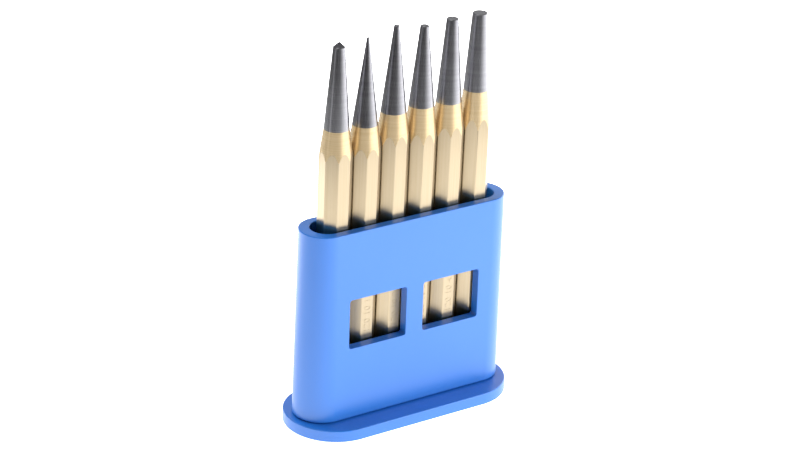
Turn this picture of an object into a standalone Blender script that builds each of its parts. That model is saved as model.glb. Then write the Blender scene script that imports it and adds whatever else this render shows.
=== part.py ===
"""Set of six punches in an upright stand moulded in two pieces.

One centre punch and five drift punches, graded from 1 to 5 mm, stand in a row
inside a flat-sided sleeve. The sleeve plugs onto a wider base plate. Each punch
is one piece of octagonal steel and lifts straight out of the sleeve.

Frame: metres, +Z up, X along the row of punches, -Y the side with the windows.
The origin is the centre of the base plate's underside.
"""
import math

import bmesh
import bpy

MM = 0.001
GAP = 0.3 * MM                     # clearance between neighbouring solids

# Base plate: a flat foot with a raised plug that fills the bottom of the sleeve.
BASE_LENGTH = 80.0 * MM
BASE_WIDTH = 33.0 * MM
BASE_THICKNESS = 4.0 * MM
BASE_EDGE_BEVEL = 0.5 * MM
PLUG_TOP = 8.7 * MM                # height of the floor that the punches stand on

# Sleeve: an upright tube with flat sides and round ends, wider towards its foot.
SLEEVE_TOP = 68.0 * MM
SLEEVE_TOP_LENGTH = 75.0 * MM
SLEEVE_TOP_WIDTH = 16.6 * MM
SLEEVE_FOOT_LENGTH = 75.8 * MM
SLEEVE_FOOT_WIDTH = 18.4 * MM
SLEEVE_WALL = 3.0 * MM             # side walls at the rim, where the bore just clears the punches
SLEEVE_END_WALL = 3.65 * MM        # the walls past the first and the last punch
BORE_DRAFT = math.radians(0.4)     # the bore widens downwards, where its core was pulled out
RIM_BEVEL = 0.4 * MM

# Sight windows in the front wall, mirrored about the sleeve's middle.
WINDOW_INNER_EDGE = 3.2 * MM
WINDOW_OUTER_EDGE = 24.5 * MM
WINDOW_SILL = 28.5 * MM
WINDOW_HEAD = 45.2 * MM
WINDOW_CORNER = 0.9 * MM

# Punches: octagonal bar, a turned cone, and a taper ground bright down to the tip.
ACROSS_FLATS = 10.0 * MM
PITCH = 10.4 * MM
PUNCH_FOOT = PLUG_TOP + GAP
CONE_TOP_DIAMETER = 8.1 * MM
POINT_LENGTH = 38.0 * MM           # from the octagon's full corners up to the tip
HEAD_END_DIAMETER = 8.4 * MM       # flat of the struck end, inside its chamfer
HEAD_CHAMFER_LENGTH = 1.6 * MM
TIP_UNDERSIZE = 0.2 * MM           # a tip is ground a little under the size it is named for
TIP_CHAMFER = 0.15 * MM
CENTRE_POINT_LENGTH = 1.7 * MM     # blunt marking point on the centre punch

# Node, tip size, whole length, length of the ground taper; from -X to +X.
PUNCHES = [
    ("centre_punch", 4 * MM, 119.3 * MM, 28.0 * MM),
    ("drift_punch_1mm", 1 * MM, 118.9 * MM, 28.1 * MM),
    ("drift_punch_2mm", 2 * MM, 121.0 * MM, 27.9 * MM),
    ("drift_punch_3mm", 3 * MM, 119.2 * MM, 26.0 * MM),
    ("drift_punch_4mm", 4 * MM, 119.8 * MM, 27.2 * MM),
    ("drift_punch_5mm", 5 * MM, 120.0 * MM, 25.2 * MM),
]

ARC_STEPS = 24                     # facets on each round end of the stand
TURN_STEPS = 48                    # facets round each turned punch
OVERCUT = 2.0 * MM                 # how far a cutter runs past what it cuts
SMOOTH_ANGLE = math.radians(25)


def clear_scene():
    for obj in list(bpy.data.objects):
        bpy.data.objects.remove(obj, do_unlink=True)


def make_material(name, colour, roughness, metallic):
    material = bpy.data.materials.new(name)
    material.use_nodes = True
    shader = material.node_tree.nodes["Principled BSDF"]
    shader.inputs["Base Color"].default_value = (*colour, 1.0)
    shader.inputs["Roughness"].default_value = roughness
    shader.inputs["Metallic"].default_value = metallic
    return material


def add_object(name, shape, material=None):
    """Turn a bmesh into a named object and free the bmesh."""
    bmesh.ops.recalc_face_normals(shape, faces=shape.faces)
    mesh = bpy.data.meshes.new(name)
    shape.to_mesh(mesh)
    shape.free()
    obj = bpy.data.objects.new(name, mesh)
    bpy.context.scene.collection.objects.link(obj)
    if material:
        mesh.materials.append(material)
    return obj


def apply_modifiers(obj):
    """Replace the object's mesh by its evaluated one and drop the modifiers."""
    depsgraph = bpy.context.evaluated_depsgraph_get()
    mesh = bpy.data.meshes.new_from_object(obj.evaluated_get(depsgraph))
    obj.modifiers.clear()
    obj.data = mesh


def combine(obj, tool, operation):
    """Cut, join or intersect obj with tool, then remove the tool."""
    boolean = obj.modifiers.new(operation.lower(), "BOOLEAN")
    boolean.operation = operation
    boolean.solver = "EXACT"
    boolean.object = tool
    apply_modifiers(obj)
    bpy.data.objects.remove(tool, do_unlink=True)


def bevel_edges(obj, width, segments):
    bevel = obj.modifiers.new("edge_bevel", "BEVEL")
    bevel.width = width
    bevel.segments = segments
    bevel.limit_method = "ANGLE"
    bevel.angle_limit = math.radians(50)
    apply_modifiers(obj)


def smooth(obj):
    obj.data.shade_smooth()
    obj.data.set_sharp_from_angle(angle=SMOOTH_ANGLE)


def obround(length, width):
    """Outline with straight sides along X and a half circle at each end."""
    radius = width / 2
    half_straight = length / 2 - radius
    points = []
    for side in (1, -1):
        for step in range(ARC_STEPS + 1):
            angle = -math.pi / 2 + math.pi * step / ARC_STEPS
            points.append((side * (half_straight + radius * math.cos(angle)),
                           side * radius * math.sin(angle)))
    return points


def obround_prism(name, bottom, top, low, high, material=None):
    """Upright obround from (length, width) at height low to (length, width) at height high."""
    shape = bmesh.new()
    foot = shape.faces.new([shape.verts.new((x, y, low)) for x, y in obround(*bottom)])
    raised = bmesh.ops.extrude_face_region(shape, geom=[foot])["geom"]
    verts = [item for item in raised if isinstance(item, bmesh.types.BMVert)]
    straight_bottom = bottom[0] - bottom[1]
    straight_top = top[0] - top[1]
    for vert in verts:
        side = math.copysign(1, vert.co.x)
        from_arc_centre = vert.co.x - side * straight_bottom / 2
        growth = top[1] / bottom[1]
        vert.co = (side * straight_top / 2 + from_arc_centre * growth, vert.co.y * growth, high)
    return add_object(name, shape, material)


def window_cutter(side):
    """Block with rounded upright corners that cuts one window through the front wall."""
    width = WINDOW_OUTER_EDGE - WINDOW_INNER_EDGE
    height = WINDOW_HEAD - WINDOW_SILL
    depth = SLEEVE_FOOT_WIDTH / 2 + OVERCUT
    shape = bmesh.new()
    bmesh.ops.create_cube(shape, size=1)
    for vert in shape.verts:
        vert.co.x = vert.co.x * width + side * (WINDOW_INNER_EDGE + width / 2)
        vert.co.y = (vert.co.y - 0.5) * depth
        vert.co.z = vert.co.z * height + WINDOW_SILL + height / 2
    through = [edge for edge in shape.edges
               if abs(edge.verts[0].co.y - edge.verts[1].co.y) > depth / 2]
    bmesh.ops.bevel(shape, geom=through, offset=WINDOW_CORNER, segments=3,
                    profile=0.5, affect="EDGES")
    return add_object("window_cutter", shape)


def bore_size(height):
    """Length and width of the sleeve's bore at a height."""
    growth = 2 * math.tan(BORE_DRAFT) * (SLEEVE_TOP - height)
    return (SLEEVE_TOP_LENGTH - 2 * SLEEVE_END_WALL + growth,
            SLEEVE_TOP_WIDTH - 2 * SLEEVE_WALL + growth)


def make_sleeve(material):
    foot = BASE_THICKNESS + GAP
    sleeve = obround_prism("sleeve", (SLEEVE_FOOT_LENGTH, SLEEVE_FOOT_WIDTH),
                           (SLEEVE_TOP_LENGTH, SLEEVE_TOP_WIDTH), foot, SLEEVE_TOP, material)
    low, high = foot - OVERCUT, SLEEVE_TOP + OVERCUT
    bore = obround_prism("bore_cutter", bore_size(low), bore_size(high), low, high)
    combine(sleeve, bore, "DIFFERENCE")
    bevel_edges(sleeve, RIM_BEVEL, 2)
    for side in (-1, 1):
        combine(sleeve, window_cutter(side), "DIFFERENCE")
    smooth(sleeve)


def make_base_plate(material):
    plate_size = (BASE_LENGTH, BASE_WIDTH)
    plate = obround_prism("base_plate", plate_size, plate_size, 0, BASE_THICKNESS, material)
    length, width = bore_size(PLUG_TOP)
    plug_size = (length - 2 * GAP, width - 2 * GAP)
    plug = obround_prism("plug", plug_size, plug_size, BASE_THICKNESS / 2, PLUG_TOP)
    combine(plate, plug, "UNION")
    bevel_edges(plate, BASE_EDGE_BEVEL, 2)
    smooth(plate)


def octagon_bar(length):
    """Bar whose flats face X, Y and the diagonals, standing on z = 0 with room to spare."""
    corner_radius = ACROSS_FLATS / 2 / math.cos(math.pi / 8)
    shape = bmesh.new()
    corners = []
    for step in range(8):
        angle = math.pi / 8 + step * math.pi / 4
        corners.append(shape.verts.new((corner_radius * math.cos(angle),
                                        corner_radius * math.sin(angle), -OVERCUT)))
    foot = shape.faces.new(corners)
    raised = bmesh.ops.extrude_face_region(shape, geom=[foot])["geom"]
    verts = [item for item in raised if isinstance(item, bmesh.types.BMVert)]
    bmesh.ops.translate(shape, verts=verts, vec=(0, 0, length + 2 * OVERCUT))
    return add_object("octagon_cutter", shape)


def punch_profile(tip_size, length, taper_length, pointed):
    """Radius and height of the turned shape, from the struck end up to the tip.

    The middle stretch lies outside the octagon, so the bar keeps its flats there and
    the cone leaves a scallop on each of them.
    """
    corner_radius = ACROSS_FLATS / 2 / math.cos(math.pi / 8)
    cone_top_radius = CONE_TOP_DIAMETER / 2
    cone_foot = length - POINT_LENGTH
    cone_top = length - taper_length
    slope = (corner_radius - cone_top_radius) / (cone_top - cone_foot)
    outside = 0.2 * MM
    head_slope = (corner_radius - HEAD_END_DIAMETER / 2) / HEAD_CHAMFER_LENGTH
    profile = [
        (0, 0),
        (HEAD_END_DIAMETER / 2, 0),
        (corner_radius + outside, HEAD_CHAMFER_LENGTH + outside / head_slope),
        (corner_radius + outside, cone_foot - outside / slope),
        (cone_top_radius, cone_top),
    ]
    tip_radius = (tip_size - TIP_UNDERSIZE) / 2
    if pointed:
        profile += [(tip_radius, length - CENTRE_POINT_LENGTH), (0, length)]
    else:
        profile += [(tip_radius, length - TIP_CHAMFER), (tip_radius - TIP_CHAMFER, length),
                    (0, length)]
    return profile


def make_punch(name, x, tip_size, length, taper_length, material):
    profile = punch_profile(tip_size, length, taper_length, name == "centre_punch")
    shape = bmesh.new()
    verts = [shape.verts.new((radius, 0, height)) for radius, height in profile]
    edges = [shape.edges.new(pair) for pair in zip(verts, verts[1:])]
    bmesh.ops.spin(shape, geom=verts + edges, cent=(0, 0, 0), axis=(0, 0, 1),
                   angle=2 * math.pi, steps=TURN_STEPS, use_merge=True)
    bmesh.ops.remove_doubles(shape, verts=shape.verts, dist=0.001 * MM)
    punch = add_object(name, shape, material)
    combine(punch, octagon_bar(length), "INTERSECT")
    smooth(punch)
    punch.location = (x, 0, PUNCH_FOOT)


def main():
    clear_scene()
    blue = make_material("blue_plastic", (0.10, 0.32, 0.85), 0.35, 0.0)
    gold = make_material("gold_lacquer", (0.80, 0.66, 0.43), 0.40, 0.6)
    make_base_plate(blue)
    make_sleeve(blue.copy())
    first_x = -PITCH * (len(PUNCHES) - 1) / 2
    for index, (name, tip_size, length, taper_length) in enumerate(PUNCHES):
        make_punch(name, first_x + index * PITCH, tip_size, length, taper_length, gold.copy())


main()
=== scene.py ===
"""Looks of the punch set: a two-part blue stand with six gold-lacquered steel punches.

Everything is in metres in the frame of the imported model: +Z up, X along the row of
punches, -Y the side of the stand with the sight windows.
"""
import math

import bmesh
import bpy
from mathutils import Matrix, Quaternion, Vector


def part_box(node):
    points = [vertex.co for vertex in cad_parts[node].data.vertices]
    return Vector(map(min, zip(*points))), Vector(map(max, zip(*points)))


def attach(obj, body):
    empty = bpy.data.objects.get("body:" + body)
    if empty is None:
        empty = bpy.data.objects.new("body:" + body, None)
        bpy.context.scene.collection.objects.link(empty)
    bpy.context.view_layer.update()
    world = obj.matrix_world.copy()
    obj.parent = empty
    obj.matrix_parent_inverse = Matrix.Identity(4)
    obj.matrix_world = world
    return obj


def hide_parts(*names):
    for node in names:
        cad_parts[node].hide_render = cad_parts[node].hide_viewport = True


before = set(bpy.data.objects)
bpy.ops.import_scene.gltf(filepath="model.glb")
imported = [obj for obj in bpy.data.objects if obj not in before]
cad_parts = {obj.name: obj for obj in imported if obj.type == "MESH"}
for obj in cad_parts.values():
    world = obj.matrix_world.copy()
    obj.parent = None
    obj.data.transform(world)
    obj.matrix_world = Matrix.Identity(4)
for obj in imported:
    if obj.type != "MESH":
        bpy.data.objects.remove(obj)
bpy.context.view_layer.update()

MM = 0.001
GAP = 0.3 * MM                    # clearance between neighbouring pieces
TOLERANCE = 0.01 * MM             # for picking vertices, edges and faces by their place
SHARP_ANGLE = 1.0                 # radians between faces, past which an edge gets rounded

# Stand
SLEEVE_RIM_LENGTH = 75.0 * MM
SLEEVE_RIM_WIDTH = 16.6 * MM
SLEEVE_RIM_WALL = 3.0 * MM
SLEEVE_RIM_END_WALL = 3.65 * MM
BORE_GROWTH = 0.9 * MM            # how much wider and longer the bore is at the sleeve's foot
RIM_ROUND = 0.35 * MM
WINDOW_INNER_EDGE = 3.2 * MM
WINDOW_OUTER_EDGE = 24.5 * MM
WINDOW_SILL = 28.5 * MM
WINDOW_HEAD = 45.2 * MM
WINDOW_CORNER = 0.9 * MM
WINDOW_ROUND = 0.2 * MM
FOOT_ROUND = 0.4 * MM
PLUG_CLEARANCE = 0.35 * MM
OBROUND_SIDES = 128
STAND_SMOOTH_ANGLE = 30           # degrees

# Punches
CONE_TOP_DIAMETER = 8.1 * MM
POINT_LENGTH = 38.0 * MM          # from the octagon's full corners to the tip
HEAD_END_DIAMETER = 8.4 * MM
HEAD_CHAMFER_LENGTH = 1.6 * MM
TIP_UNDERSIZE = 0.2 * MM
TIP_CHAMFER = 0.15 * MM
CENTRE_POINT_LENGTH = 1.7 * MM
BAR_EDGE_ROUND = 0.22 * MM
BAR_SPARE_LENGTH = 4 * MM         # the bar is longer than the punch before the two are crossed
TURNING_SPARE = 0.2 * MM          # and the turned shape's middle stretch is wider than the bar
TURNED_SIDES = 96
CONE_LEAN = 0.03                  # a face that leans this far upwards is turned, not drawn
PUNCH_SMOOTH_ANGLE = 6.5          # degrees
PUNCHES = {                       # node: tip size, length of the ground taper
    "centre_punch": (4.0 * MM, 28.0 * MM),
    "drift_punch_1mm": (1.0 * MM, 28.1 * MM),
    "drift_punch_2mm": (2.0 * MM, 27.9 * MM),
    "drift_punch_3mm": (3.0 * MM, 26.0 * MM),
    "drift_punch_4mm": (4.0 * MM, 27.2 * MM),
    "drift_punch_5mm": (5.0 * MM, 25.2 * MM),
}
RING_PITCH = 0.6 * MM             # turning marks on the centre punch, either side of the lacquer's edge
RING_DEPTH = 0.018 * MM
RING_POINTS = 6
RING_STRETCH_BELOW = 7.2 * MM
RING_STRETCH_ABOVE = 15.0 * MM
STAMPS = {                        # length, bar size and tip size in millimetres
    "centre_punch": "120 10 4",
    "drift_punch_1mm": "120 10 1",
    "drift_punch_2mm": "120 10 2",
    "drift_punch_3mm": "120 10 3",
    "drift_punch_4mm": "120 10 4",
    "drift_punch_5mm": "120 10 5",
}
STAMP_DEPTH = 0.08 * MM
STAMP_SIZE = 3.4 * MM
STAMP_HEIGHT = 36.8 * MM          # height of the stamped numbers' middle, behind the windows

# Finishes: linear colours, noise scales in cycles per metre, and a streak's stretch on X, Y, Z
BLUE_DARK = (0.020, 0.170, 0.61)
BLUE_LIGHT = (0.026, 0.185, 0.65)
GOLD_DARK = (0.425, 0.340, 0.218)
GOLD_LIGHT = (0.472, 0.388, 0.262)
# Painted light: the turned cones' gold is lighter than the drawn bar's, to brighten cones that get
# little light in this studio; their rougher turned finish is set by roughness, not colour
PAINTED_LIT_CONE_GOLD_DARK = (0.68, 0.510, 0.280)
PAINTED_LIT_CONE_GOLD_LIGHT = (0.78, 0.610, 0.365)
STEEL_DARK = (0.335, 0.335, 0.360)
STEEL_LIGHT = (0.395, 0.395, 0.420)
ALONG_THE_BAR = (1, 1, 0.012)
ROUND_THE_BAR = (0.02, 0.02, 1)
PLASTIC_CLOUD_SCALE = 45
PLASTIC_GRAIN_SCALE = 2200
PLASTIC_GRAIN_DEPTH = 0.006 * MM
PLASTIC_ROUGHNESS = (0.24, 0.38)
PLASTIC_SPECULAR = 0.75
LACQUER_STREAK_SCALE = 1800
LACQUER_STREAK_DEPTH = 0.002 * MM
LACQUER_ROUGHNESS_SPREAD = 0.03
LACQUER_COAT = 0.5
LACQUER_COAT_ROUGHNESS = 0.25
STEEL_RING_SCALE = 1600
STEEL_ROUGHNESS = (0.285, 0.31)
STEEL_BRUSHING = 0.2

# Studio
WORLD_STRENGTH = 0.2
FLOOR_SIZE = 6
FLOOR_GLOW = (1.05, 1.8)          # at the left and at the right of the stand
FLOOR_GLOW_BEHIND = 1.2           # added behind the stand
FLOOR_GLOW_BEHIND_FROM = 0.05     # where that starts along Y
FLOOR_GLOW_REACH = 0.15           # where the glow stops changing along X and Y
SURROUND_RADIUS = 0.26            # seen in reflections only: see make_surround
SURROUND_HEIGHT = 0.2
SURROUND_SIDES = 180
SURROUND_TONES = [                # degrees round the stand from -Y towards +X, and brightness
    (-180, 0.3), (-150, 0.1), (-97, 0.05), (-93, 1.2), (-91, 1.2), (-87, 0.04),
    (-60, 0.03), (0, 0.04), (25, 0.4), (55, 1.8), (90, 3.4), (115, 4.3), (127, 2.8),
    (140, 0.5), (180, 0.3),
]
SURROUND_TOP_TONE = 1.15          # the tones blend into this one at the top of the back,
SURROUND_TOP_SLOPE = (0, 1, 2)    # which is where a place's product with this slope
SURROUND_TOP_FROM = 0.46          # goes from here
SURROUND_TOP_TO = 0.50            # to here
LIGHTS_AIM = Vector((0, 0, 80 * MM))
LIGHTS = {                        # azimuth, elevation, distance, width, height, watts
    "key_light": (33, 12, 0.9, 0.8, 0.7, 7.9),
    "back_light": (-165, 50, 0.9, 0.8, 0.7, 7),
    "top_left_light": (-80, 62, 0.6, 0.12, 0.12, 0.3),
}
MATT_LIGHTS = ("back_light",)     # lights that leave no reflection

# Camera
CAMERA_AIM = Vector((-0.9 * MM, 0, 62.3 * MM))
CAMERA_AZIMUTH = math.radians(-35.06)
CAMERA_ELEVATION = math.radians(23.83)
CAMERA_ROLL = math.radians(2.44)
CAMERA_DISTANCE = 0.85
CAMERA_LENS = 121.5
CAMERA_CLIP = (0.01, 20)


# ---------------------------------------------------------------- modelling helpers

def deselect_all():
    if bpy.context.object and bpy.context.object.mode != "OBJECT":
        bpy.ops.object.mode_set(mode="OBJECT")
    bpy.ops.object.select_all(action="DESELECT")


def make_active(obj):
    deselect_all()
    obj.select_set(True)
    bpy.context.view_layer.objects.active = obj


def finish_primitive(name):
    """Name the new primitive and move its place and turn into its mesh."""
    obj = bpy.context.object
    obj.name = name
    obj.data.name = name
    bpy.ops.object.transform_apply(location=True, rotation=True, scale=True)
    return obj


def edit(obj):
    make_active(obj)
    bpy.ops.object.mode_set(mode="EDIT")


def leave_edit():
    bpy.ops.object.mode_set(mode="OBJECT")


def pick(obj, kind, test):
    """In edit mode, select only the VERTs, EDGEs or FACEs that pass the test."""
    bpy.ops.mesh.select_mode(type=kind)
    bpy.ops.mesh.select_all(action="DESELECT")
    shape = bmesh.from_edit_mesh(obj.data)
    items = {"VERT": shape.verts, "EDGE": shape.edges, "FACE": shape.faces}[kind]
    for item in items:
        if test(item):
            item.select_set(True)
    bmesh.update_edit_mesh(obj.data)


def apply_modifier(obj, kind, **settings):
    make_active(obj)
    bpy.ops.object.modifier_add(type=kind)
    modifier = obj.modifiers[-1]
    for key, value in settings.items():
        setattr(modifier, key, value)
    bpy.ops.object.modifier_apply(modifier=modifier.name)


def cut(obj, tool, operation="DIFFERENCE"):
    apply_modifier(obj, "BOOLEAN", operation=operation, solver="EXACT", object=tool)
    bpy.data.objects.remove(tool, do_unlink=True)


def smooth(obj, degrees):
    """Smooth shading up to an angle, with flat faces kept flat next to small rounds."""
    make_active(obj)
    bpy.ops.object.shade_smooth_by_angle(angle=math.radians(degrees))
    apply_modifier(obj, "WEIGHTED_NORMAL", keep_sharp=True)


def centre(edge):
    return (edge.verts[0].co + edge.verts[1].co) / 2


def spread_ends(obj, distance, test=lambda vert: True):
    """Move the two halves of an outline apart along X, which gives it straight sides."""
    for side in (1, -1):
        pick(obj, "VERT", lambda vert: vert.co.x * side > 0 and test(vert))
        bpy.ops.transform.translate(value=(side * distance, 0, 0))


def obround_block(name, length, width, low, high):
    """Upright block with straight sides along X and round ends, left in edit mode."""
    deselect_all()
    bpy.ops.mesh.primitive_cylinder_add(
        vertices=OBROUND_SIDES, radius=width / 2, depth=high - low,
        location=(0, 0, (low + high) / 2), rotation=(0, 0, math.pi / OBROUND_SIDES))
    block = finish_primitive(name)
    edit(block)
    spread_ends(block, (length - width) / 2)
    return block


def runs_level(edge):
    """An edge that follows an outline, and doesn't run up the side."""
    return abs(edge.verts[0].co.z - edge.verts[1].co.z) < TOLERANCE


def is_sharp(edge):
    return edge.is_manifold and edge.calc_face_angle() > SHARP_ANGLE


def is_level(face, height):
    return abs(face.normal.z) > 0.9 and abs(face.calc_center_median().z - height) < TOLERANCE


# ---------------------------------------------------------------- stand

def make_sleeve():
    low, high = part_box("sleeve")
    foot_length, foot_width = high.x - low.x, high.y - low.y
    sleeve = obround_block("sleeve_moulding", foot_length, foot_width, low.z, high.z)

    # narrower at the rim
    pick(sleeve, "VERT", lambda vert: vert.co.z > high.z - MM)
    shrink = SLEEVE_RIM_WIDTH / foot_width
    bpy.ops.transform.resize(value=(shrink, shrink, 1), center_override=(0, 0, high.z))
    spread_ends(sleeve, (SLEEVE_RIM_LENGTH - foot_length * shrink) / 2,
                lambda vert: vert.co.z > high.z - MM)

    # bore
    bore_width = SLEEVE_RIM_WIDTH - 2 * SLEEVE_RIM_WALL + BORE_GROWTH
    rim_bore_length = SLEEVE_RIM_LENGTH - 2 * SLEEVE_RIM_END_WALL
    bore_length = rim_bore_length + BORE_GROWTH
    foot_wall = (foot_width - bore_width) / 2
    pick(sleeve, "FACE", lambda face: is_level(face, high.z))
    bpy.ops.mesh.inset(thickness=SLEEVE_RIM_WALL)
    inset_length = SLEEVE_RIM_LENGTH - 2 * SLEEVE_RIM_WALL
    bpy.ops.transform.resize(value=(rim_bore_length / inset_length, 1, 1),
                             center_override=(0, 0, high.z))
    pick(sleeve, "FACE", lambda face: is_level(face, low.z))
    bpy.ops.mesh.inset(thickness=foot_wall)
    bpy.ops.transform.resize(value=(bore_length / (foot_length - 2 * foot_wall), 1, 1),
                             center_override=(0, 0, low.z))
    pick(sleeve, "FACE", lambda face: len(face.verts) == OBROUND_SIDES)
    bpy.ops.mesh.bridge_edge_loops()

    # rounded rim and foot edges
    pick(sleeve, "EDGE", lambda edge: is_sharp(edge) and runs_level(edge))
    bpy.ops.mesh.bevel(offset=RIM_ROUND, segments=4, profile=0.5)
    leave_edit()

    # sight windows
    width = WINDOW_OUTER_EDGE - WINDOW_INNER_EDGE
    height = WINDOW_HEAD - WINDOW_SILL
    for side in (-1, 1):
        deselect_all()
        bpy.ops.mesh.primitive_cube_add(
            size=1, scale=(width, foot_width / 2, height),
            location=(side * (WINDOW_INNER_EDGE + width / 2), -foot_width / 2, WINDOW_SILL + height / 2))
        cutter = finish_primitive("window_cutter")
        edit(cutter)
        pick(cutter, "EDGE", lambda edge: abs(edge.verts[0].co.y - edge.verts[1].co.y) > MM)
        bpy.ops.mesh.bevel(offset=WINDOW_CORNER, segments=6, profile=0.5)
        leave_edit()
        cut(sleeve, cutter)
    edit(sleeve)
    pick(sleeve, "EDGE", lambda edge: is_sharp(edge)
         and WINDOW_SILL - MM < centre(edge).z < WINDOW_HEAD + MM)
    bpy.ops.mesh.bevel(offset=WINDOW_ROUND, segments=3, profile=0.5)
    leave_edit()
    return sleeve


def make_foot():
    low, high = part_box("base_plate")
    plate_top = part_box("sleeve")[0].z - GAP
    length, width = high.x - low.x, high.y - low.y
    foot = obround_block("foot_moulding", length, width, low.z, plate_top)
    pick(foot, "EDGE", runs_level)
    bpy.ops.mesh.bevel(offset=FOOT_ROUND, segments=4, profile=0.5)

    # plug that fills the bottom of the sleeve
    bore_growth = BORE_GROWTH - 2 * PLUG_CLEARANCE
    plug_width = SLEEVE_RIM_WIDTH - 2 * SLEEVE_RIM_WALL + bore_growth
    plug_length = SLEEVE_RIM_LENGTH - 2 * SLEEVE_RIM_END_WALL + bore_growth
    pick(foot, "FACE", lambda face: is_level(face, plate_top) and len(face.verts) == OBROUND_SIDES)
    border = width / 2 - FOOT_ROUND - plug_width / 2
    bpy.ops.mesh.inset(thickness=border)
    inset_length = length - 2 * FOOT_ROUND - 2 * border
    spread_ends(foot, (plug_length - inset_length) / 2,
                lambda vert: vert.co.z > plate_top - TOLERANCE
                and abs(vert.co.x) < inset_length / 2 + 0.1 * MM
                and abs(vert.co.y) < plug_width / 2 + 0.1 * MM)
    pick(foot, "FACE", lambda face: is_level(face, plate_top)
         and abs(face.calc_center_median().x) < MM and len(face.verts) == OBROUND_SIDES)
    bpy.ops.mesh.extrude_region_move(TRANSFORM_OT_translate={"value": (0, 0, high.z - plate_top)})
    pick(foot, "EDGE", lambda edge: centre(edge).z > high.z - TOLERANCE)
    bpy.ops.mesh.bevel(offset=FOOT_ROUND, segments=3, profile=0.5)
    leave_edit()
    return foot


# ---------------------------------------------------------------- punches

def punch_rings(node):
    """Height and radius of each ring of the turned shape, from the struck end to the tip."""
    low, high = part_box(node)
    tip_size, taper_length = PUNCHES[node]
    corner_radius = (high.x - low.x) / 2 / math.cos(math.pi / 8)
    cone_top_radius = CONE_TOP_DIAMETER / 2
    cone_foot = high.z - POINT_LENGTH
    cone_top = high.z - taper_length
    cone_slope = (corner_radius - cone_top_radius) / (cone_top - cone_foot)
    head_slope = (corner_radius - HEAD_END_DIAMETER / 2) / HEAD_CHAMFER_LENGTH
    middle_radius = corner_radius + TURNING_SPARE
    rings = [
        (low.z, HEAD_END_DIAMETER / 2),
        (low.z + HEAD_CHAMFER_LENGTH + TURNING_SPARE / head_slope, middle_radius),
        (cone_foot - TURNING_SPARE / cone_slope, middle_radius),
    ]
    tip_radius = (tip_size - TIP_UNDERSIZE) / 2
    if node == "centre_punch":
        shoulder = high.z - CENTRE_POINT_LENGTH
        taper_slope = (cone_top_radius - tip_radius) / (shoulder - cone_top)
        start = cone_top - RING_STRETCH_BELOW
        count = round((RING_STRETCH_BELOW + RING_STRETCH_ABOVE) / RING_PITCH)
        for index in range(count * RING_POINTS):
            height = start + index * RING_PITCH / RING_POINTS
            slope = cone_slope if height < cone_top else taper_slope
            depth = RING_DEPTH * (0.5 - 0.5 * math.cos(2 * math.pi * index / RING_POINTS))
            rings.append((height, cone_top_radius - slope * (height - cone_top) - depth))
        rings += [(shoulder, tip_radius), (high.z, 0)]
    else:
        rings += [(cone_top, cone_top_radius), (high.z - TIP_CHAMFER, tip_radius),
                  (high.z, tip_radius - TIP_CHAMFER)]
    return rings


def turned_bar(name, x, rings):
    """Closed turned shape on an upright axis, drawn up ring by ring from a filled circle."""
    deselect_all()
    height, radius = rings[0]
    bpy.ops.mesh.primitive_circle_add(vertices=TURNED_SIDES, radius=radius, fill_type="NGON",
                                      location=(x, 0, height))
    bar = finish_primitive(name)
    edit(bar)
    bpy.ops.mesh.select_mode(type="FACE")
    bpy.ops.mesh.select_all(action="SELECT")
    for next_height, next_radius in rings[1:]:
        bpy.ops.mesh.extrude_region_move(TRANSFORM_OT_translate={"value": (0, 0, next_height - height)})
        if next_radius > 0:
            grow = next_radius / radius
            bpy.ops.transform.resize(value=(grow, grow, 1), center_override=(x, 0, next_height))
        else:
            bpy.ops.mesh.merge(type="CENTER")
        height, radius = next_height, next_radius
    bpy.ops.mesh.select_all(action="SELECT")
    bpy.ops.mesh.normals_make_consistent(inside=False)
    leave_edit()
    return bar


def octagon_bar(node, x):
    """Octagonal bar with its long edges rounded, a little longer than the punch."""
    low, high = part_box(node)
    deselect_all()
    corner_radius = (high.x - low.x) / 2 / math.cos(math.pi / 8)
    bpy.ops.mesh.primitive_cylinder_add(
        vertices=8, radius=corner_radius, depth=high.z - low.z + BAR_SPARE_LENGTH,
        location=(x, 0, (low.z + high.z) / 2), rotation=(0, 0, math.pi / 8))
    bar = finish_primitive("octagon_bar")
    edit(bar)
    pick(bar, "EDGE", lambda edge: abs(edge.verts[0].co.z - edge.verts[1].co.z) > MM)
    bpy.ops.mesh.bevel(offset=BAR_EDGE_ROUND, segments=8, profile=0.5)
    leave_edit()
    return bar


def stamp_numbers(punch, words, x, flat_y):
    """Sink a line of numbers, read upwards, into the punch's front flat."""
    deselect_all()
    bpy.ops.object.text_add(location=(x, flat_y, STAMP_HEIGHT),
                            rotation=(math.pi / 2, -math.pi / 2, 0))
    text = bpy.context.object
    text.data.body = words
    text.data.size = STAMP_SIZE
    text.data.align_x = "CENTER"
    text.data.align_y = "CENTER"
    text.data.extrude = STAMP_DEPTH
    text.data.resolution_u = 3
    bpy.ops.object.convert(target="MESH")
    cut(punch, finish_primitive("number_stamp"))


def make_punch(node, finishes):
    low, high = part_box(node)
    x = (low.x + high.x) / 2
    punch = turned_bar(node + "_steel", x, punch_rings(node))
    cut(punch, octagon_bar(node, x), "INTERSECT")
    stamp_numbers(punch, STAMPS[node], x, low.y)

    # gold lacquer on the drawn bar and the turned cone, the cone's in a lighter copy that carries
    # painted light, bare steel from there to the tip
    punch.data.materials.clear()
    for finish in finishes:
        punch.data.materials.append(finish)
    cone_top = high.z - PUNCHES[node][1]
    for face in punch.data.polygons:
        if face.center.z > cone_top:
            face.material_index = 2
        elif face.normal.z > CONE_LEAN and face.center.z > high.z - POINT_LENGTH - MM:
            face.material_index = 1
        else:
            face.material_index = 0
    return punch


# ---------------------------------------------------------------- materials

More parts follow.
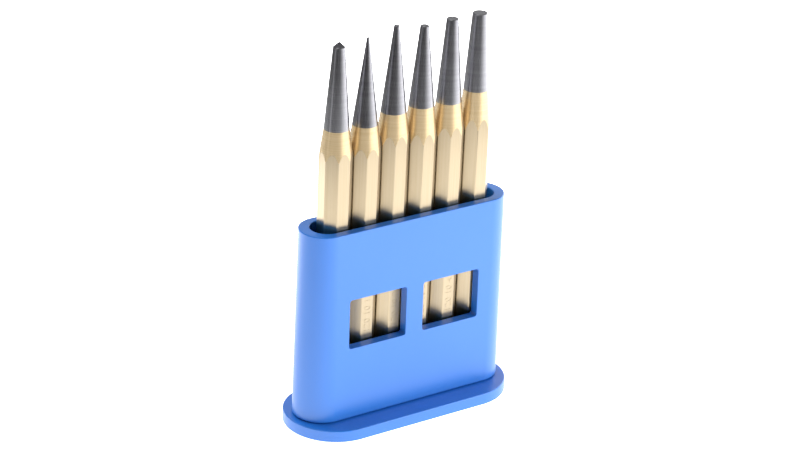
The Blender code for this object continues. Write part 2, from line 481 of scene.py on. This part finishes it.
def new_material(name):
    material = bpy.data.materials.new(name)
    material.use_nodes = True
    tree = material.node_tree
    return material, tree, tree.nodes["Principled BSDF"]


def add_node(tree, kind, **settings):
    node = tree.nodes.new("ShaderNode" + kind)
    for key, value in settings.items():
        setattr(node, key, value)
    return node


def object_noise(tree, stretch, scale, detail=3.0, roughness=0.5):
    """Noise on Object coordinates, with its own stretch along each axis."""
    place = add_node(tree, "TexCoord")
    mapping = add_node(tree, "Mapping")
    mapping.inputs["Scale"].default_value = stretch
    noise = add_node(tree, "TexNoise")
    noise.inputs["Scale"].default_value = scale
    noise.inputs["Detail"].default_value = detail
    noise.inputs["Roughness"].default_value = roughness
    tree.links.new(place.outputs["Object"], mapping.inputs["Vector"])
    tree.links.new(mapping.outputs["Vector"], noise.inputs["Vector"])
    return noise.outputs["Fac"]


def spread(tree, value, low, high, from_low=0.3, from_high=0.7):
    """Map a value's middle range, or the range given, onto another range of numbers."""
    ranged = add_node(tree, "MapRange")
    ranged.inputs["From Min"].default_value = from_low
    ranged.inputs["From Max"].default_value = from_high
    ranged.inputs["To Min"].default_value = low
    ranged.inputs["To Max"].default_value = high
    tree.links.new(value, ranged.inputs["Value"])
    return ranged.outputs["Result"]


def blend_colours(tree, value, dark, light):
    mix = add_node(tree, "Mix", data_type="RGBA")
    # its colour sockets share their names with its number sockets, so they go by number
    mix.inputs[6].default_value = (*dark, 1)
    mix.inputs[7].default_value = (*light, 1)
    tree.links.new(value, mix.inputs[0])
    return mix.outputs[2]


def add_bump(tree, height, distance):
    bump = add_node(tree, "Bump")
    bump.inputs["Distance"].default_value = distance
    tree.links.new(height, bump.inputs["Height"])
    return bump.outputs["Normal"]


def brush(shader, tree, brushing, turn):
    """Stretch the reflections along Z, or across it when turned by a quarter."""
    # leans a little, so that it never lies along the normal of a level face
    upright = add_node(tree, "CombineXYZ")
    upright.inputs["X"].default_value = 0.02
    upright.inputs["Y"].default_value = 0.01
    upright.inputs["Z"].default_value = 1
    tree.links.new(upright.outputs["Vector"], shader.inputs["Tangent"])
    shader.inputs["Anisotropic"].default_value = brushing
    shader.inputs["Anisotropic Rotation"].default_value = turn


def moulded_plastic():
    """Blue plastic with an even, slightly grained moulded gloss."""
    material, tree, shader = new_material("moulded_blue")
    cloud = object_noise(tree, (1, 1, 1), PLASTIC_CLOUD_SCALE, detail=2)
    colour = blend_colours(tree, spread(tree, cloud, 0, 1, 0, 1), BLUE_DARK, BLUE_LIGHT)
    tree.links.new(colour, shader.inputs["Base Color"])
    grain = object_noise(tree, (1, 1, 1), PLASTIC_GRAIN_SCALE)
    tree.links.new(spread(tree, cloud, *PLASTIC_ROUGHNESS, 0, 1), shader.inputs["Roughness"])
    tree.links.new(add_bump(tree, grain, PLASTIC_GRAIN_DEPTH), shader.inputs["Normal"])
    shader.inputs["Specular IOR Level"].default_value = PLASTIC_SPECULAR
    return material


def gold_lacquer(name, dark, light, streak_shape, roughness, brushing, turn, metallic):
    """Gold lacquer over steel, with faint streaks along the way the steel was worked."""
    material, tree, shader = new_material(name)
    streak = object_noise(tree, streak_shape, LACQUER_STREAK_SCALE, detail=4, roughness=0.6)
    colour = blend_colours(tree, spread(tree, streak, 0, 1), dark, light)
    tree.links.new(colour, shader.inputs["Base Color"])
    shader.inputs["Metallic"].default_value = metallic
    smoothest = roughness - LACQUER_ROUGHNESS_SPREAD
    roughest = roughness + LACQUER_ROUGHNESS_SPREAD
    tree.links.new(spread(tree, streak, smoothest, roughest), shader.inputs["Roughness"])
    shader.inputs["Coat Weight"].default_value = LACQUER_COAT
    shader.inputs["Coat Roughness"].default_value = LACQUER_COAT_ROUGHNESS
    tree.links.new(add_bump(tree, streak, LACQUER_STREAK_DEPTH), shader.inputs["Normal"])
    brush(shader, tree, brushing, turn)
    return material


def ground_steel():
    """Bare steel ground round the taper, which leaves very fine rings."""
    material, tree, shader = new_material("ground_steel")
    ring = object_noise(tree, ROUND_THE_BAR, STEEL_RING_SCALE, detail=2)
    colour = blend_colours(tree, spread(tree, ring, 0, 1), STEEL_DARK, STEEL_LIGHT)
    tree.links.new(colour, shader.inputs["Base Color"])
    shader.inputs["Metallic"].default_value = 1.0
    tree.links.new(spread(tree, ring, *STEEL_ROUGHNESS), shader.inputs["Roughness"])
    brush(shader, tree, STEEL_BRUSHING, 0)
    return material


# ---------------------------------------------------------------- studio

def make_floor():
    deselect_all()
    bpy.ops.mesh.primitive_plane_add(size=FLOOR_SIZE, location=(0, 0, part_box("base_plate")[0].z))
    floor = finish_primitive("floor")
    material, tree, shader = new_material("pale_floor")
    shader.inputs["Base Color"].default_value = (0.92, 0.92, 0.92, 1)
    shader.inputs["Roughness"].default_value = 0.9
    shader.inputs["Specular IOR Level"].default_value = 0.2
    shader.inputs["Emission Color"].default_value = (1, 1, 1, 1)
    place = add_node(tree, "TexCoord")
    split = add_node(tree, "SeparateXYZ")
    tree.links.new(place.outputs["Object"], split.inputs["Vector"])
    across = spread(tree, split.outputs["X"], *FLOOR_GLOW, -FLOOR_GLOW_REACH, FLOOR_GLOW_REACH)
    behind = spread(tree, split.outputs["Y"], 0, FLOOR_GLOW_BEHIND,
                    FLOOR_GLOW_BEHIND_FROM, FLOOR_GLOW_REACH)
    total = add_node(tree, "Math", operation="ADD")
    tree.links.new(across, total.inputs[0])
    tree.links.new(behind, total.inputs[1])
    tree.links.new(total.outputs["Value"], shader.inputs["Emission Strength"])
    material.cycles.emission_sampling = "NONE"
    floor.data.materials.append(material)


def outwards(azimuth, elevation):
    """Direction away from the stand: azimuth from -Y towards +X, elevation upwards."""
    return Vector((math.sin(azimuth) * math.cos(elevation),
                   -math.cos(azimuth) * math.cos(elevation), math.sin(elevation)))


def make_light(name, azimuth, elevation, distance, width, height, power):
    light = bpy.data.lights.new(name, "AREA")
    light.shape = "RECTANGLE"
    light.size, light.size_y = width, height
    light.energy = power
    obj = bpy.data.objects.new(name, light)
    bpy.context.scene.collection.objects.link(obj)
    out = outwards(math.radians(azimuth), math.radians(elevation))
    obj.location = LIGHTS_AIM + out * distance
    obj.rotation_mode = "QUATERNION"
    obj.rotation_quaternion = (-out).to_track_quat("-Z", "Y")
    obj.visible_camera = False
    obj.visible_glossy = name not in MATT_LIGHTS


def grey(tone):
    return (tone, tone, tone, 1)


def surround_tones():
    """Glow that changes round the stand, in steps of grey from SURROUND_TONES."""
    material, tree, shader = new_material("surround_tones")
    peak = max(tone for _, tone in SURROUND_TONES)
    place = add_node(tree, "TexCoord")
    # turned so that the sweep runs from -180 to 180 degrees, with -Y in its middle
    mapping = add_node(tree, "Mapping")
    mapping.inputs["Rotation"].default_value = (0, 0, math.pi / 2)
    sweep = add_node(tree, "TexGradient", gradient_type="RADIAL")
    ramp = add_node(tree, "ValToRGB")
    stops = ramp.color_ramp.elements
    while len(stops) < len(SURROUND_TONES):
        stops.new(0.5)
    for stop, (degrees, tone) in zip(stops, SURROUND_TONES):
        stop.position = (degrees + 180) / 360
        stop.color = grey(tone / peak)
    tree.links.new(place.outputs["Object"], mapping.inputs["Vector"])
    tree.links.new(mapping.outputs["Vector"], sweep.inputs["Vector"])
    tree.links.new(sweep.outputs["Fac"], ramp.inputs["Fac"])

    # one tone at the top of the back
    slope = add_node(tree, "VectorMath", operation="DOT_PRODUCT")
    slope.inputs[1].default_value = SURROUND_TOP_SLOPE
    tree.links.new(place.outputs["Object"], slope.inputs[0])
    rise = spread(tree, slope.outputs["Value"], 0, 1, SURROUND_TOP_FROM, SURROUND_TOP_TO)
    mix = add_node(tree, "Mix", data_type="RGBA")
    mix.inputs[7].default_value = grey(SURROUND_TOP_TONE / peak)
    tree.links.new(rise, mix.inputs[0])
    tree.links.new(ramp.outputs["Color"], mix.inputs[6])

    shader.inputs["Base Color"].default_value = grey(0)
    shader.inputs["Specular IOR Level"].default_value = 0
    tree.links.new(mix.outputs[2], shader.inputs["Emission Color"])
    shader.inputs["Emission Strength"].default_value = peak
    material.cycles.emission_sampling = "NONE"
    return material


def make_surround():
    """Ring round the stand that only reflections see, so it lights nothing."""
    deselect_all()
    bpy.ops.mesh.primitive_cylinder_add(
        vertices=SURROUND_SIDES, radius=SURROUND_RADIUS, depth=SURROUND_HEIGHT,
        end_fill_type="NOTHING", location=(0, 0, SURROUND_HEIGHT / 2))
    ring = finish_primitive("surround")
    ring.data.materials.append(surround_tones())
    ring.visible_camera = False
    ring.visible_diffuse = False
    ring.visible_shadow = False


def make_world():
    world = bpy.data.worlds.new("studio")
    world.use_nodes = True
    background = world.node_tree.nodes["Background"]
    background.inputs["Color"].default_value = (1, 1, 1, 1)
    background.inputs["Strength"].default_value = WORLD_STRENGTH
    bpy.context.scene.world = world
    bpy.context.scene.view_settings.view_transform = "Standard"


def make_camera():
    camera = bpy.data.cameras.new("camera")
    camera.lens = CAMERA_LENS
    obj = bpy.data.objects.new("camera", camera)
    bpy.context.scene.collection.objects.link(obj)
    back = outwards(CAMERA_AZIMUTH, CAMERA_ELEVATION)
    obj.location = CAMERA_AIM + back * CAMERA_DISTANCE
    obj.rotation_mode = "QUATERNION"
    level = (-back).to_track_quat("-Z", "Y")
    obj.rotation_quaternion = level @ Quaternion((0, 0, 1), CAMERA_ROLL)
    camera.clip_start, camera.clip_end = CAMERA_CLIP
    bpy.context.scene.camera = obj


# ---------------------------------------------------------------- assembly

def main():
    make_camera()
    make_world()
    make_floor()
    make_surround()
    for name, setting in LIGHTS.items():
        make_light(name, *setting)

    blue = moulded_plastic()
    finishes = (
        gold_lacquer("drawn_lacquer", GOLD_DARK, GOLD_LIGHT, streak_shape=ALONG_THE_BAR,
                     roughness=0.31, brushing=0.85, turn=0.25, metallic=1),
        # turned cones: a lighter copy of the lacquer, the extra lightness being painted light
        gold_lacquer("turned_lacquer_painted_lit", PAINTED_LIT_CONE_GOLD_DARK, PAINTED_LIT_CONE_GOLD_LIGHT,
                     streak_shape=ROUND_THE_BAR,
                     roughness=0.44, brushing=0.9, turn=0, metallic=0.75),
        ground_steel())
    for piece, node in ((make_foot(), "base_plate"), (make_sleeve(), "sleeve")):
        smooth(piece, STAND_SMOOTH_ANGLE)
        piece.data.materials.clear()
        piece.data.materials.append(blue)
        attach(piece, "holder")
        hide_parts(node)
    for node in PUNCHES:
        punch = make_punch(node, finishes)
        smooth(punch, PUNCH_SMOOTH_ANGLE)
        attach(punch, node)
        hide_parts(node)


main()
